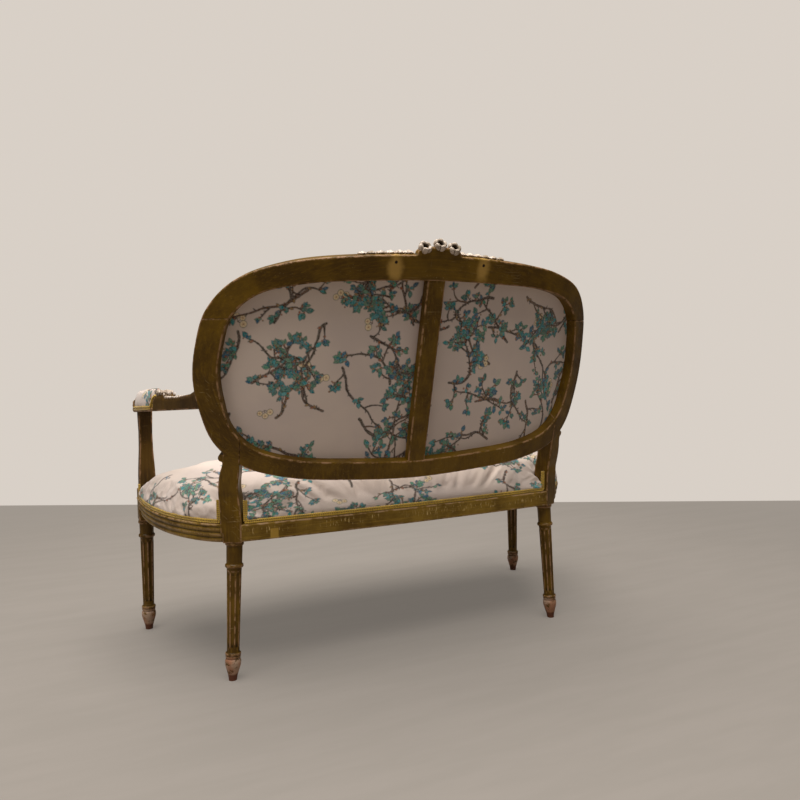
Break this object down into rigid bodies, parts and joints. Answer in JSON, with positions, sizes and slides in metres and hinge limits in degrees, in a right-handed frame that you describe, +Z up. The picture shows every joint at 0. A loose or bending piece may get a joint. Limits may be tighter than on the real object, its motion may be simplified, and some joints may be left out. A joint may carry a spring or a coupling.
{
  "type": "cabriole sofa",
  "caption": "Small settee with an oval upholstered back in a painted wood frame, open padded arms, a domed seat and turned, fluted legs.",
  "frame": {"origin": "on the floor, under the middle of the settee's bounding box", "axes": "+X to the right seen from the front, +Y from the front to the back, +Z up"},
  "size_m": [1.218, 0.663, 1.0062],
  "materials": {
    "painted_wood": "dark olive and antique gold paint, scratched, satin",
    "worn_wood": "the same paint rubbed down to grey ground on the carving",
    "bare_wood": "unpainted beech",
    "print_cloth": "pale pinkish grey woven cloth with a printed sprig pattern",
    "double_cord": "olive gold double cord",
    "webbing": "plain jute",
    "stuffing": "loose fibre and wadding",
    "dust_cloth": "thin black woven cloth"
  },
  "bodies": {
    "root": {"rear_upright_right": "painted_wood", "rear_upright_left": "painted_wood", "front_leg_right": "painted_wood", "front_leg_left": "painted_wood", "seat_rail_right": "painted_wood", "seat_rail_left": "painted_wood", "seat_rail_rear": "painted_wood", "seat_rail_front": "painted_wood", "corner_block_front_right": "bare_wood", "corner_block_front_left": "bare_wood", "corner_block_rear_right": "bare_wood", "corner_block_rear_left": "bare_wood", "back_top_rail": "painted_wood", "back_bottom_rail": "painted_wood", "back_center_brace": "painted_wood", "arm_right": "painted_wood", "arm_left": "painted_wood", "arm_support_right": "painted_wood", "arm_support_left": "painted_wood", "crest_rose_center": "worn_wood", "crest_rose_right": "worn_wood", "crest_rose_left": "worn_wood", "crest_garland_right": "worn_wood", "crest_garland_left": "worn_wood", "seat_web_cross_1": "webbing", "seat_web_cross_2": "webbing", "seat_web_cross_3": "webbing", "seat_web_cross_4": "webbing", "seat_web_cross_5": "webbing", "seat_web_long_1": "webbing", "seat_web_long_2": "webbing", "seat_web_long_3": "webbing", "seat_deck_cloth": "webbing", "seat_stuffing": "stuffing", "seat_cover": "print_cloth", "seat_dust_cover": "dust_cloth", "seat_trim_rear": "double_cord", "seat_trim_front": "double_cord", "seat_trim_right": "double_cord", "seat_trim_left": "double_cord", "back_outer_cloth": "print_cloth", "back_web_upright_1": "webbing", "back_web_upright_2": "webbing", "back_web_upright_3": "webbing", "back_web_cross_1": "webbing", "back_web_cross_2": "webbing", "back_stuffing": "stuffing", "back_cover": "print_cloth", "back_trim": "double_cord", "arm_pad_right": "stuffing", "arm_pad_left": "stuffing", "arm_pad_cover_right": "print_cloth", "arm_pad_cover_left": "print_cloth", "arm_pad_trim_right": "double_cord", "arm_pad_trim_left": "double_cord"}
  },
  "joints": []
}
